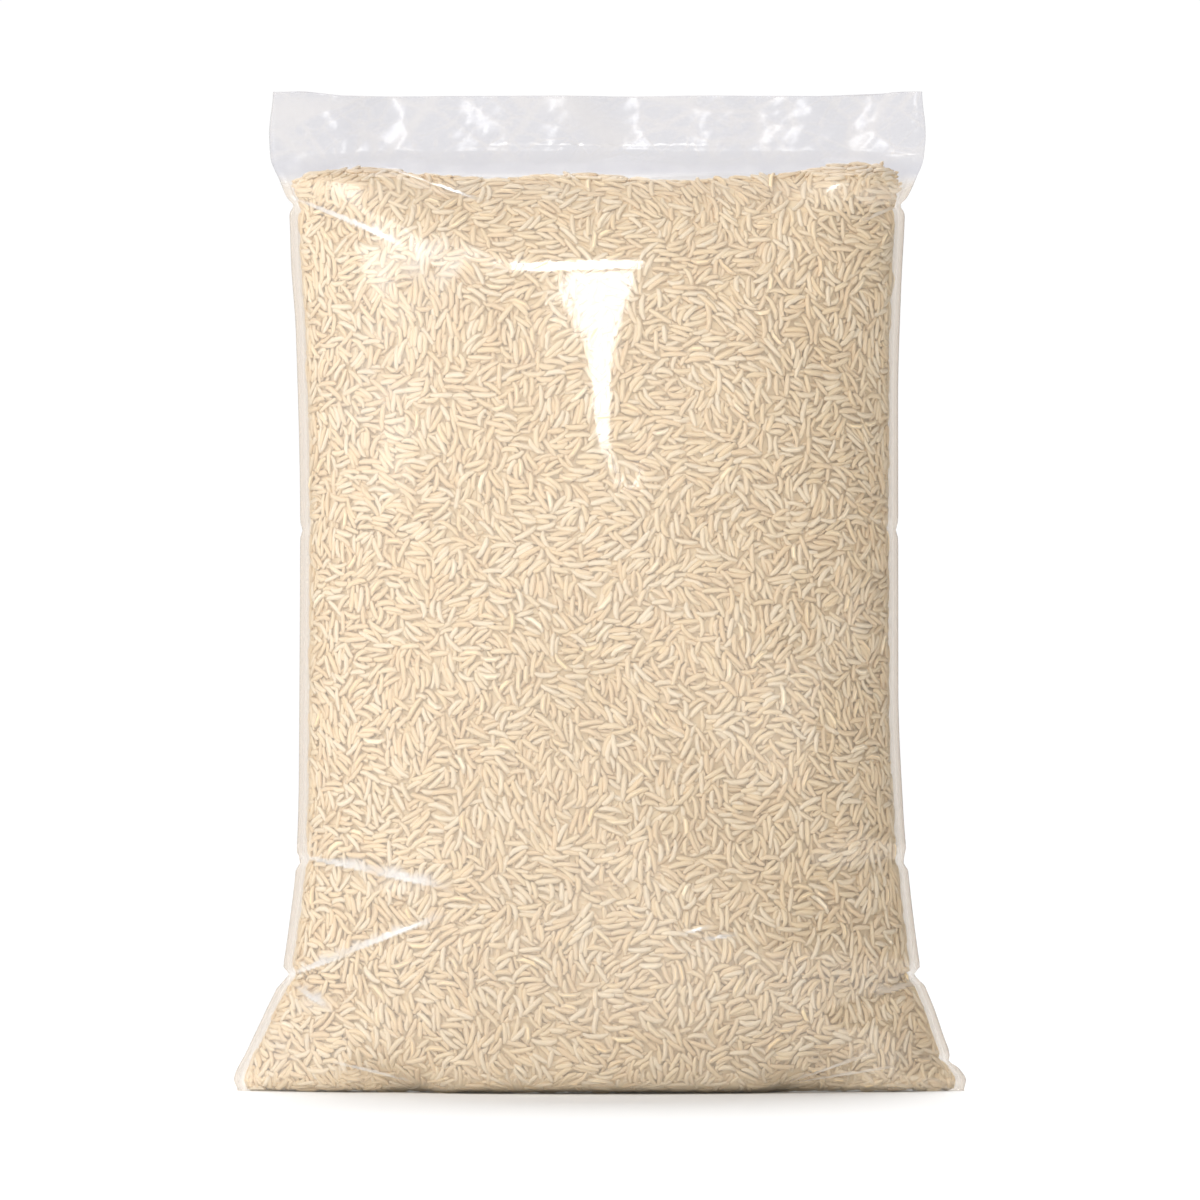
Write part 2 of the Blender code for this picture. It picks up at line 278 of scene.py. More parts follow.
# Film
film = {
    "columns": 256,                                  # round the whole bag
    "rows": 206,
    "rowPlaces": ((0.0, 0.0), (0.08, 0.009), (0.63, 0.252), (1.0, 0.2897)),   # shares of the rows, heights
    "haze": 0.19,
    "headerHaze": 0.03,
    "lipHaze": 0.10,
    "edgeHaze": 0.10,
    "hazeColour": (0.92, 0.84, 0.74, 1),
    "tint": (0.965, 0.960, 0.955, 1),
    # the lip's tint is darker for its doubled film, and warmer as a painted reflection of the rice
    "lipTintAndRiceReflection": (0.805, 0.775, 0.745, 1),
    "greyTint": (0.834, 0.833, 0.860, 1),
    "greyStart": 0.2610,
    "greyFull": 0.2665,
    "headerGrey": 0.78,                              # share of that tint; it is full in the painted shadow just above the rice
    "paintedShadeHeight": 0.2672,                           # of the header's darkest line, a painted shadow
    "paintedShadeHalf": 0.0030,
    "roughness": 0.075,
    "headerRoughness": 0.19,
    "shineRoughness": 0.24,
    "mirror": 0.060,
    "headerMirror": 0.011,
    "edgeMirror": 0.40,
    # creases of the front as (start x, start height, end x, end height, width at the start, at the end)
    "frontCreases": (
        (0.0240, 0.0458, 0.0310, 0.0476, 0.0009, 0.0012),
        (0.0300, 0.0440, 0.0390, 0.0454, 0.0011, 0.0008),
        (-0.0895, 0.2588, -0.0581, 0.2436, 0.0008, 0.0022),
        (-0.0640, 0.2680, -0.0500, 0.2625, 0.0006, 0.0008),
        (-0.0500, 0.2625, -0.0350, 0.2567, 0.0008, 0.0011),
        (0.0863, 0.2561, 0.0758, 0.2509, 0.0005, 0.0012),
        (-0.0871, 0.0674, -0.0630, 0.0628, 0.0010, 0.0030),
        (-0.0660, 0.0630, -0.0457, 0.0590, 0.0030, 0.0026),
        (-0.0900, 0.0330, -0.0727, 0.0392, 0.0012, 0.0022),
        (-0.0760, 0.0385, -0.0457, 0.0502, 0.0022, 0.0017),
        (-0.0880, 0.0300, -0.0790, 0.0240, 0.0014, 0.0024),
        (0.0927, 0.0310, 0.0787, 0.0276, 0.0014, 0.0018),
        (0.0540, 0.0030, 0.0780, 0.0110, 0.0006, 0.0010),
        (0.0560, 0.0030, 0.0840, 0.0070, 0.0006, 0.0009),
        (-0.0530, 0.0030, -0.0760, 0.0085, 0.0006, 0.0010),
        (-0.0350, 0.2742, 0.0350, 0.2740, 0.0006, 0.0006),
        (0.0800, 0.2716, 0.0925, 0.2712, 0.0006, 0.0006),
    ),
    "creaseReach": 0.0030,                           # faces this near a crease are cut finer
    "creaseCuts": 3,
    "creaseSlope": 0.27,                             # of a crease's upper flank
    "creaseBack": 0.0005,                            # width of its lower flank
    "creaseEnds": 0.06,                              # share of its half wave left out at either end
    "creaseWobble": 0.0006,
    "creaseWobbleCell": 0.0022,
    "creaseShine": 0.45,                             # on the lit side
    # milk on a crease's lit flank is a painted highlight
    "creaseHighlightHaze": 0.25,
    "farSide": 0.05,                                 # past this place across, creases get a painted highlight of milk rather than shine
    "farShine": 0.06,
    "farHighlightHaze": 0.42,
    "headerFade": 0.7,                               # share of its looks that a crease loses in the header
    # bright patches of the front as (x, height, half width, half height, added shine)
    "patches": (
        (-0.0490, 0.2370, 0.0120, 0.0080, 0.10),
        (-0.0640, 0.2050, 0.0150, 0.0300, 0.05),
        (-0.0580, 0.0605, 0.0100, 0.0025, 0.08),
        (-0.0835, 0.0260, 0.0030, 0.0024, 0.20),
        (-0.0920, 0.0150, 0.0100, 0.0120, 0.05),
        (0.0000, 0.2620, 0.0950, 0.0060, 0.05),
    ),
    "topHaze": 0.05,                                 # added where the heap's edge lies against the film
    "topHalf": 0.0055,
    # milky marks that paint soft highlights, as (x, height, half width, half height, added haze)
    "paintedLightSpots": (
        (0.0330, 0.0458, 0.0085, 0.0026, 0.03),
        (0.0900, 0.0120, 0.0140, 0.0080, 0.05),
    ),
    "blotch": 0.006,                                 # cell of the patches' uneven look
    "blotchDepth": 0.8,
    # the header's folds as (cell, height, turn in degrees): cells are drawn out along their turn
    "crumples": ((0.024, 0.0013, 20), (0.0105, 0.0009, -38), (0.0045, 0.0004, 42)),
    "crumpleStretch": 2.2,
    "crumpleLine": 0.07,                             # half width of a crumple's milky ridge, in cells
    "crumpleMilk": 0.14,
    "crumpleStart": 0.2660,
    "crumpleFull": 0.2735,
    "crumpleHold": 0.004,                            # the crumples fade this near the side edges
    "ownShare": 0.3,                                 # height of the crumples that only one face has
}


def segmentAway(x, z, x0, z0, x1, z1):               # distance from a segment, and the share along it
    run, climb = x1 - x0, z1 - z0
    along = np.clip(((x - x0) * run + (z - z0) * climb) / (run * run + climb * climb), 0, 1)
    return np.hypot(x - x0 - along * run, z - z0 - along * climb), along


def unevenness(x, z, cell):
    return np.array([noise.noise(Vector((a, b, 0.3)) / cell) for a, b in zip(x, z, strict=True)])


def creaseMarks(x, z):                               # how far the creases rise, and their lit flanks, which get shine and a painted highlight of milk
    total, bright = np.zeros_like(x), np.zeros_like(x)
    wobble = film["creaseWobble"] * unevenness(x, z, film["creaseWobbleCell"])
    for x0, z0, x1, z1, startWidth, endWidth in film["frontCreases"]:
        away, along = segmentAway(x, z, x0, z0, x1, z1)
        above = z > z0 + (z1 - z0) * (x - x0) / (x1 - x0)
        strength = np.sin(math.pi * (film["creaseEnds"] + (1 - 2 * film["creaseEnds"]) * along))
        wide = startWidth + (endWidth - startWidth) * along
        flank = np.where(above, wide, film["creaseBack"])
        profile = np.clip(1 - (away + wobble * above) / flank, 0, 1)
        total += film["creaseSlope"] * wide * strength * profile
        bright = np.maximum(bright, above * strength * ease(3 * profile))
    return total, bright


def crumple(points, seed):                           # cones round scattered points meet in sharp folds
    shift = Vector((seed * 7.3, seed * 3.1, seed * 5.7))
    total, ridges = np.zeros(len(points)), np.zeros(len(points))
    for cell, height, turn in film["crumples"]:
        cosine, sine = math.cos(math.radians(turn)), math.sin(math.radians(turn))
        along = (points[:, 0] * cosine + points[:, 2] * sine) / cell / film["crumpleStretch"]
        aside = (points[:, 2] * cosine - points[:, 0] * sine) / cell
        for index in range(len(points)):
            near = noise.voronoi(Vector((along[index], 0, aside[index])) + shift)[0]
            total[index] += height * (near[0] - 0.5)
            ridges[index] = max(ridges[index], bell(near[1] - near[0], film["crumpleLine"]))
    return total, ridges


def filmPlace(mesh):                                 # the flat grid's corners on the bag's form
    around, share = gridPlaces(mesh)
    shares, heights = np.array(film["rowPlaces"]).T
    z = np.interp(share, shares, heights)
    front = around <= 0
    points = np.where(front[:, None], bagPoint(-1, around + 1, z), bagPoint(1, 1 - around, z))
    return front, z, points


def makeFilm():
    mesh = bmesh.new()
    bmesh.ops.create_grid(mesh, x_segments=film["columns"], y_segments=film["rows"], size=1)
    front, z, points = filmPlace(mesh)
    nearest = np.full(len(z), 1.0)
    for x0, z0, x1, z1, startWidth, endWidth in film["frontCreases"]:
        nearest = np.minimum(nearest, segmentAway(points[:, 0], z, x0, z0, x1, z1)[0])
    close = front & (nearest < film["creaseReach"])
    edges = [edge for edge in mesh.edges if all(close[vertex.index] for vertex in edge.verts)]
    bmesh.ops.subdivide_edges(mesh, edges=edges, cuts=film["creaseCuts"], use_grid_fill=True)
    top = -1 + 2 * np.interp(film["crumpleStart"], *np.array(film["rowPlaces"]).T[::-1])
    level = [edge for edge in mesh.edges
             if all(vertex.co.x < 0.01 and vertex.co.y > top for vertex in edge.verts)
             and abs(edge.verts[0].co.y - edge.verts[1].co.y) < 1e-5]
    bmesh.ops.subdivide_edges(mesh, edges=level, cuts=1, use_grid_fill=True)
    mesh.verts.index_update()
    front, z, points = filmPlace(mesh)
    outward = np.where(front, -1.0, 1.0)
    x = points[:, 0]
    rise, bright = creaseMarks(x, z)
    points[:, 1] += outward * front * rise
    slack = ease((z - film["crumpleStart"]) / (film["crumpleFull"] - film["crumpleStart"]))
    inHeader = np.flatnonzero(slack > 0)
    edge = reachAt(x, z) - np.abs(x)
    hold = ease(edge / film["crumpleHold"])
    both, ridges = crumple(points[inHeader], 1)
    own = np.where(front[inHeader], crumple(points[inHeader], 2)[0], -crumple(points[inHeader], 3)[0])
    points[inHeader, 1] += (slack * hold)[inHeader] * (both - film["ownShare"] * own)
    dim = ease((z - film["greyStart"]) / (film["greyFull"] - film["greyStart"]))
    lip = ease(1 - edge / (2 * bagForm["lipReach"])) * (1 - dim)
    haze = film["haze"] + (film["headerHaze"] - film["haze"]) * dim + film["lipHaze"] * lip
    far = x > film["farSide"]
    marks = front * bright * (1 - film["headerFade"] * dim)
    # painted highlight: milk along the creases' lit flanks
    haze += marks * np.where(far, film["farHighlightHaze"], film["creaseHighlightHaze"])
    haze += film["topHaze"] * bell(z - film["greyStart"], film["topHalf"]) * (1 - dim)
    haze[inHeader] += film["crumpleMilk"] * (front * slack)[inHeader] * ridges ** 2
    shine = marks * np.where(far, film["farShine"], film["creaseShine"])
    blotch = np.clip(1 + film["blotchDepth"] * 2 * unevenness(x, z, film["blotch"]), 0, 2)
    # painted highlights: milky marks lighten the film in these places
    for at, level, half, tall, more in film["paintedLightSpots"]:
        haze += front * more * bell(x - at, half) * bell(z - level, tall) * blotch
    for at, level, half, tall, more in film["patches"]:
        shine += front * more * bell(x - at, half) * bell(z - level, tall) * blotch * (1 - dim)
    for vertex, point in zip(mesh.verts, points, strict=True):
        vertex.co = point
    # painted shadow: the header's grey deepens in a blotchy band just above the rice
    paintedShade = bell(z - film["paintedShadeHeight"], film["paintedShadeHalf"]) * blotch / 2
    grey = dim * np.minimum(film["headerGrey"] + (1 - film["headerGrey"]) * paintedShade, 1)
    for label, values in (("haze", haze), ("grey", grey), ("lip", lip), ("shine", shine)):
        layer = mesh.verts.layers.float.new(label)
        for vertex, value in zip(mesh.verts, values, strict=True):
            vertex[layer] = value
    return closeUp(mesh, "film")


def filmMaterial():
    material, tree, output = newMaterial("clearFilm")
    place = addNode(tree, "TexCoord").outputs["Object"]
    # the haze attribute holds the film's own milkiness and its painted highlights
    hazeWithPaintedHighlights = addNode(tree, "Attribute", attribute_name="haze").outputs["Fac"]
    grey = addNode(tree, "Attribute", attribute_name="grey").outputs["Fac"]
    lip = addNode(tree, "Attribute", attribute_name="lip").outputs["Fac"]
    shine = addNode(tree, "Attribute", attribute_name="shine").outputs["Fac"]
    wrinkle = addNode(tree, "TexNoise", {"Vector": place, "Scale": 170, "Detail": 2.5, "Roughness": 0.6})
    amount = addNode(tree, "MapRange", {"Value": grey, "To Min": 0.16, "To Max": 0.45}).outputs["Result"]
    height = addNode(tree, "Math", {0: wrinkle.outputs["Fac"], 1: amount}, operation="MULTIPLY")
    bump = addNode(tree, "Bump", {"Strength": 0.5, "Distance": 0.0006, "Height": height.outputs["Value"]})
    facing = addNode(tree, "LayerWeight", {"Blend": 0.5}).outputs["Facing"]
    edgeOn = addNode(tree, "Math", {0: facing, 1: 5}, operation="POWER").outputs["Value"]
    edgeMilk = addNode(tree, "Math", {0: edgeOn, 1: film["edgeHaze"]}, operation="MULTIPLY").outputs["Value"]
    haze = addNode(tree, "Math", {0: hazeWithPaintedHighlights, 1: edgeMilk}, operation="ADD", use_clamp=True).outputs["Value"]
    # the lip's tint carries a painted reflection of the rice
    warm = addNode(tree, "Mix", {"Factor": lip, "A": film["tint"], "B": film["lipTintAndRiceReflection"]}, data_type="RGBA")
    tint = addNode(tree, "Mix", {"Factor": grey, "A": warm.outputs["Result"], "B": film["greyTint"]},
                   data_type="RGBA")
    clear = addNode(tree, "BsdfTransparent", {"Color": tint.outputs["Result"]}).outputs["BSDF"]
    milky = addNode(tree, "BsdfDiffuse", {"Color": film["hazeColour"]}).outputs["BSDF"]
    hazy = addNode(tree, "MixShader", {"Fac": haze, 1: clear, 2: milky}).outputs["Shader"]
    dull = addNode(tree, "MapRange", {"Value": grey, "To Min": film["roughness"],
                                      "To Max": film["headerRoughness"]}).outputs["Result"]
    dull = addNode(tree, "MapRange", {"Value": shine, "From Max": 0.06, "To Min": dull,
                                      "To Max": film["shineRoughness"]}).outputs["Result"]
    gloss = addNode(tree, "BsdfGlossy", {"Color": (1, 1, 1, 1), "Roughness": dull,
                                         "Normal": bump.outputs["Normal"]}).outputs["BSDF"]
    straight = addNode(tree, "MapRange", {"Value": grey, "To Min": film["mirror"],
                                          "To Max": film["headerMirror"]}).outputs["Result"]
    mirror = addNode(tree, "MapRange", {"Value": edgeOn, "To Min": straight,
                                        "To Max": film["edgeMirror"]}).outputs["Result"]
    mirror = addNode(tree, "Math", {0: mirror, 1: shine}, operation="ADD", use_clamp=True).outputs["Value"]
    surface = addNode(tree, "MixShader", {"Fac": mirror, 1: hazy, 2: gloss}).outputs["Shader"]
    tree.links.new(surface, output.inputs["Surface"])
    return material


filmPiece = addPiece("film", makeFilm(), filmMaterial())
print("film made:", len(filmPiece.data.polygons), "faces")

# Rice
rice = {
    "length": 0.0072,
    "width": 0.00162,
    "thickness": 0.00115,
    "press": 0.66,                                   # share of a grain's girth that keeps others off
    "lengthShares": (0.74, 0.88, 0.99, 1.10),
    "bends": (0.0, 1.2, -1.4, 2.5, -2.7),            # rise of the middle over the ends, in quarter widths
    "bluntness": 5.0,
    "ringSpread": 0.7,                               # below 1 brings a grain's rings nearer its ends
    "angleSteps": 72,
    "cell": 0.0003,                                  # of the map on which grains are laid
    "panelStep": 0.001,
    "panelHalf": 0.112,                              # reach of the map to either side of the middle
    "panelPast": 0.0015,                             # its reach above the filled part
    "lineSteps": (1200, 401),                        # up a panel and across it, to measure its arcs by
    "leastFacing": 0.35,                             # steeper film counts as this steep
    "combSize": 0.013,                               # of a patch whose grains lie alike
    "combSpread": 40,                                # degrees within a patch
    "filmClear": 0.00025,
    "leastRoom": 0.0008,                             # half the bag's depth where a layer of grains fits
    "deepest": 0.0025,
    "topClear": 0.0014,                              # from the heap's edge down to the first grains' middles
    "flatRise": 0.006,                               # grains this near the heap's edge turn along it
    "flatFreedom": 0.15,                             # share of their turn that is left at the edge
    "topHalf": (0.092, 0.016),                       # of the map of the heap's top
    "topDrop": 0.0006,                               # of that map below the heap's edge
    "topRoom": 0.0016,                               # least way from there to the faces
    "topSide": 0.002,
    "topDeepest": 0.003,
    "batch": 500,                                    # grains laid between two looks for bare places
    "tiltLimit": 0.30,
    "tiltSteps": 7,
    "frontCount": 9500,
    "backCount": 9000,
    "topCount": 1000,
    "tries": 15,
    "sideClear": 0.0010,                             # of a grain's end from the lips
    "faceClear": 0.0006,
    "pierce": 0.0005,                                # a grain still this far past those is left out
    "nearDepth": 0.00135,                            # grains nearer the film get the finer shape
    # the heap's upper edge as (x, height)
    "heapTop": (
        (-0.0890, 0.2625), (-0.0860, 0.2662), (-0.0744, 0.2680), (-0.0670, 0.2683), (-0.0535, 0.2665),
        (-0.0300, 0.2650), (-0.0050, 0.2664), (0.0196, 0.2642), (0.0490, 0.2660), (0.0640, 0.2683),
        (0.0753, 0.2702), (0.0820, 0.2685), (0.0870, 0.2620),
    ),
}


def makePanel(face):                                 # the film's inner side on a map of arc lengths
    step = rice["panelStep"]
    upSteps, acrossSteps = rice["lineSteps"]
    z = np.linspace(0.0, bagForm["fillEnd"] + rice["panelPast"], upSteps)
    middle = bagPoint(face, np.zeros_like(z), z, lip=False)
    climb = np.concatenate([[0], np.cumsum(np.linalg.norm(np.diff(middle, axis=0), axis=1))])
    rowZ = np.interp(np.arange(0, climb[-1], step), climb, z)
    u = np.linspace(-1, 1, acrossSteps)
    columns = np.arange(-rice["panelHalf"], rice["panelHalf"] + step / 2, step)
    points = np.zeros((len(rowZ), len(columns), 3))
    inside = np.zeros((len(rowZ), len(columns)), bool)
    for row, height in enumerate(rowZ):
        line = bagPoint(face, u, np.full_like(u, height), lip=False)
        arc = np.concatenate([[0], np.cumsum(np.linalg.norm(np.diff(line, axis=0), axis=1))])
        arc -= arc[acrossSteps // 2]
        for axis in range(3):
            points[row, :, axis] = np.interp(columns, arc, line[:, axis])
        inside[row] = (columns > arc[0]) & (columns < arc[-1])
    upward, across = np.gradient(points, step, axis=(0, 1))
    normal = np.cross(across, upward) * -face
    normal *= np.sign(normal[..., 1:2]) * face
    normal /= np.maximum(np.linalg.norm(normal, axis=-1, keepdims=True), 1e-9)
    room = np.abs(points[..., 1] - headerSway(points[..., 0], points[..., 2]))
    below = curveThrough(rice["heapTop"], points[..., 0]) - points[..., 2]
    straight = room / np.maximum(np.abs(normal[..., 1]), rice["leastFacing"])
    return {"points": points, "normal": normal, "limit": np.minimum(straight, rice["deepest"]),
            "free": inside & (room > rice["leastRoom"]) & (below > rice["topClear"]),
            "freedom": rice["flatFreedom"] + (1 - rice["flatFreedom"]) * ease(below / rice["flatRise"])}


def makeTopPanel():                                  # the heap's level top, seen from above
    step = rice["panelStep"]
    halfX, halfY = rice["topHalf"]
    y, x = np.meshgrid(np.arange(-halfY, halfY, step), np.arange(-halfX, halfX, step), indexing="ij")
    z = curveThrough(rice["heapTop"], x) - rice["topDrop"]
    inner = reachAt(np.sign(x), z) - bagForm["lipReach"]
    room = np.minimum(bodyDepth(-1, x, inner, z) + y, bodyDepth(1, x, inner, z) - y)
    points = np.stack([x, y + headerSway(x, z), z], -1)
    return {"points": points, "normal": np.zeros_like(points) + (0, 0, 1),
            "limit": np.full_like(x, rice["topDeepest"]),
            "free": (room > rice["topRoom"]) & (np.abs(x) < inner - rice["topSide"]),
            "freedom": np.ones_like(x)}


def makeStamps():
    cell = rice["cell"]
    angles = np.arange(rice["angleSteps"]) * math.pi / rice["angleSteps"]
    stamps = []
    forms = [(share, bend) for share in rice["lengthShares"] for bend in rice["bends"]]
    for share, bend in forms:
        halfLength = rice["length"] * share / 2
        span = int(halfLength / cell) + 3
        rows, columns = np.mgrid[-span:span + 1, -span:span + 1]
        turned = []
        for angle in angles:
            along = (columns * math.cos(angle) + rows * math.sin(angle)) * cell
            aside = (rows * math.cos(angle) - columns * math.sin(angle)) * cell
            aside = aside - bend * rice["width"] * (0.25 - (along / halfLength / 2) ** 2)
            taper = np.sqrt(np.maximum(1 - np.abs(along / halfLength) ** rice["bluntness"], 0))
            aside = aside / np.maximum(taper * rice["width"] * rice["press"] / 2, 1e-9)
            within = (np.abs(aside) < 1) & (taper > 0)
            dome = np.sqrt(1 - aside[within] ** 2) * taper[within] * rice["thickness"] * rice["press"] / 2
            turned.append((rows[within], columns[within], dome.astype(np.float32),
                           along[within].astype(np.float32)))
        stamps.append(turned)
    return stamps


def combAngles(panel, seed):                         # a smooth field of directions
    angles = np.zeros(panel["free"].shape)
    for row, column in np.ndindex(angles.shape):
        place = Vector((column, row, 0)) * rice["panelStep"] / rice["combSize"]
        one = noise.noise(place + Vector((seed, 0, 0.5)))
        other = noise.noise(place + Vector((0, seed, 9.5)))
        angles[row, column] = math.atan2(one, other) / 2
    return angles


def layGrains(panel, count, seed):                   # each grain settles outwards onto film or grains
    random = np.random.default_rng(seed)
    scale = rice["panelStep"] / rice["cell"]
    pad = 16
    height = int(panel["points"].shape[0] * scale) + 2 * pad
    width = int(panel["points"].shape[1] * scale) + 2 * pad
    rows = np.clip(((np.arange(height) - pad) / scale), 0, panel["points"].shape[0] - 1).astype(int)
    columns = np.clip(((np.arange(width) - pad) / scale), 0, panel["points"].shape[1] - 1).astype(int)
    free = panel["free"][rows][:, columns].ravel()
    limits = panel["limit"][rows][:, columns].ravel()
    comb = combAngles(panel, seed)[rows][:, columns].ravel()
    freedom = panel["freedom"][rows][:, columns].ravel()
    deep = np.full(height * width, rice["filmClear"], np.float32)
    stamps = [[(r * width + c, dome, along) for r, c, dome, along in turned] for turned in makeStamps()]
    tilts = np.linspace(-rice["tiltLimit"], rice["tiltLimit"], rice["tiltSteps"]).astype(np.float32)[:, None]
    tries = rice["tries"]
    spread = math.radians(rice["combSpread"])
    laid = []
    for _ in range(count // rice["batch"]):
        bare = np.flatnonzero(free & (deep <= rice["filmClear"]))
        starts = random.choice(bare, (rice["batch"], tries))
        angles = (comb[starts] + random.normal(0, spread, starts.shape)) * freedom[starts]
        turns = np.round(angles / math.pi * rice["angleSteps"]).astype(int) % rice["angleSteps"]
        sizes = random.integers(0, len(stamps), rice["batch"])
        for places, ways, size in zip(starts, turns, sizes, strict=True):
            best = None
            for place, way in zip(places, ways, strict=True):
                cells, dome, along = stamps[size][way]
                cells = cells + place
                rests = (deep[cells] + dome - tilts * along).max(axis=1)
                tilt = int(rests.argmin())
                rest = float(rests[tilt])
                if rest < limits[place] and (best is None or rest < best[0]):
                    best = (rest, float(tilts[tilt, 0]), place, way, cells, dome, along)
            if best is None:
                continue
            rest, tilt, place, way, cells, dome, along = best
            deep[cells] = np.maximum(deep[cells], rest + tilt * along + dome)
            laid.append((place // width, place % width, rest, tilt, way, size))
    bareShare = np.mean(deep[free] <= rice["filmClear"])
    print("still bare:", round(float(bareShare), 3))
    laid = np.array(laid)
    rowAt = np.clip((laid[:, 0] - pad) / scale, 0, panel["points"].shape[0] - 1.001)
    columnAt = np.clip((laid[:, 1] - pad) / scale, 0, panel["points"].shape[1] - 1.001)
    return placeGrains(panel, rowAt, columnAt, laid[:, 2:])


def sampleMap(grid, row, column):
    r, c = row.astype(int), column.astype(int)
    up, along = (row - r)[:, None], (column - c)[:, None]
    low = grid[r, c] * (1 - along) + grid[r, c + 1] * along
    high = grid[r + 1, c] * (1 - along) + grid[r + 1, c + 1] * along
    return low * (1 - up) + high * up


def pastFilm(at):                                    # how far ends are too near the film or past it
    side = np.sign(at[:, 0])
    reach = reachAt(side, at[:, 2])
    x = np.abs(at[:, 0]) + nipAt(side, at[:, 2]) * (np.abs(at[:, 0]) / reach) ** bagForm["nipFalloff"]
    inner = reach - bagForm["lipReach"]
    out = at[:, 1] - headerSway(at[:, 0], at[:, 2])
    front, back = (out * face - bodyDepth(face, side * x, inner, at[:, 2]) for face in (-1, 1))
    return side, x + rice["sideClear"] - inner, np.maximum(front, back) + rice["faceClear"]


def placeGrains(panel, row, column, laid):
    rest, tilt, turn, size = laid.T
    point = sampleMap(panel["points"], row, column)
    normal = sampleMap(panel["normal"], row, column)
    normal /= np.linalg.norm(normal, axis=1, keepdims=True)
    ahead = sampleMap(panel["points"], row, np.minimum(column + 0.5, panel["points"].shape[1] - 1.001))
    across = ahead - sampleMap(panel["points"], row, np.maximum(column - 0.5, 0))
    across -= normal * (across * normal).sum(1, keepdims=True)
    across /= np.maximum(np.linalg.norm(across, axis=1, keepdims=True), 1e-9)
    upward = np.cross(normal, across)
    upward *= np.where(upward[:, 2:3] < 0, -1, 1)
    angle = (turn * math.pi / rice["angleSteps"])[:, None]
    axis = across * np.cos(angle) + upward * np.sin(angle) - normal * tilt[:, None]
    axis /= np.linalg.norm(axis, axis=1, keepdims=True)
    form = size.astype(int)
    length = rice["length"] * np.array(rice["lengthShares"])[form // len(rice["bends"])]
    centre = point - normal * rest[:, None]
    for end in (-0.5, 0.5, -0.5, 0.5):               # an end that would pierce the film moves the grain in
        tipAt = centre + axis * (length * end * 0.9)[:, None]
        side, aside, outwards = pastFilm(tipAt)
        centre[:, 0] -= side * np.clip(aside, 0, 0.002)
        centre -= normal * np.clip(outwards, 0, 0.002)[:, None]
        centre[:, 2] += np.clip(rice["thickness"] / 2 - tipAt[:, 2], 0, None)
    fits = np.full(len(centre), True)
    for end in (-0.5, 0, 0.5):
        side, aside, outwards = pastFilm(centre + axis * (length * end * 0.9)[:, None])
        fits &= (aside < rice["pierce"]) & (outwards < rice["pierce"])
    laid = {"centre": centre, "axis": axis, "normal": normal, "length": length, "depth": rest,
            "bend": form % len(rice["bends"])}
    return {key: values[fits] for key, values in laid.items()}


def grainShape(segments, rings, bend):               # a blunt grain along X, one unit long, wide and thick
    mesh = bmesh.new()
    bmesh.ops.create_uvsphere(mesh, u_segments=segments, v_segments=rings, radius=0.5)
    for vertex in mesh.verts:
        x, y, z = vertex.co.z, vertex.co.x, vertex.co.y
        x = math.copysign(min(abs(2 * x), 1) ** rice["ringSpread"] / 2, x)
        girth = (1 - abs(2 * x) ** rice["bluntness"]) ** 0.5 / max(2 * math.hypot(y, z), 1e-9)
        vertex.co = (x, y * girth + bend * (0.25 - x * x), z * girth)
    bmesh.ops.recalc_face_normals(mesh, faces=mesh.faces)
    bmesh.ops.triangulate(mesh, faces=mesh.faces)
    vertices = np.array([vertex.co for vertex in mesh.verts])
    faces = np.array([[vertex.index for vertex in face.verts] for face in mesh.faces])
    mesh.free()
    return vertices, faces


def joinGrains(name, grains, chosen, shapes, random):
    allPoints, allFaces, tones, alongs = [], [], [], []
    offset = 0
    which = grains["bend"][chosen]
    roll = random.normal(0, 0.12, len(chosen))
    wide = rice["width"] * random.normal(1, 0.055, len(chosen))
    thick = rice["thickness"] * random.normal(1, 0.05, len(chosen))
    tone = random.random(len(chosen))
    for index, (shape, faces) in enumerate(shapes):
        mine = which == index
        picked = chosen[mine]
        axis = grains["axis"][picked]
        normal = grains["normal"][picked]
        aside = np.cross(normal, axis) * grains["hand"][picked][:, None]
        aside /= np.linalg.norm(aside, axis=1, keepdims=True)
        out = np.cross(axis, aside)
        rolled = aside * np.cos(roll[mine])[:, None] + out * np.sin(roll[mine])[:, None]
        lifted = np.cross(axis, rolled)
        points = grains["centre"][picked][:, None] + (
            shape[None, :, 0:1] * (axis * grains["length"][picked][:, None])[:, None]
            + shape[None, :, 1:2] * (rolled * wide[mine][:, None])[:, None]
            + shape[None, :, 2:3] * (lifted * thick[mine][:, None])[:, None]
        )
        count = len(shape)
        allPoints.append(points.reshape(-1, 3))
        firsts = offset + np.arange(len(picked)) * count
        allFaces.append((faces[None] + firsts[:, None, None]).reshape(-1, 3))
        tones.append(np.repeat(tone[mine], count))
        alongs.append(np.tile(shape[:, 0], len(picked)))
        offset += count * len(picked)
    points, faces = np.concatenate(allPoints), np.concatenate(allFaces)
    mesh = bpy.data.meshes.new(name)
    mesh.vertices.add(len(points))
    mesh.vertices.foreach_set("co", points.ravel())
    mesh.loops.add(faces.size)
    mesh.loops.foreach_set("vertex_index", faces.ravel())
    mesh.polygons.add(len(faces))
    mesh.polygons.foreach_set("loop_start", np.arange(len(faces)) * 3)
    mesh.polygons.foreach_set("loop_total", np.full(len(faces), 3))
    mesh.update(calc_edges=True)
    for label, values in (("tone", np.concatenate(tones)), ("along", np.concatenate(alongs))):
        layer = mesh.attributes.new(label, "FLOAT", "POINT")
        layer.data.foreach_set("value", values.astype(np.float32))
    return mesh


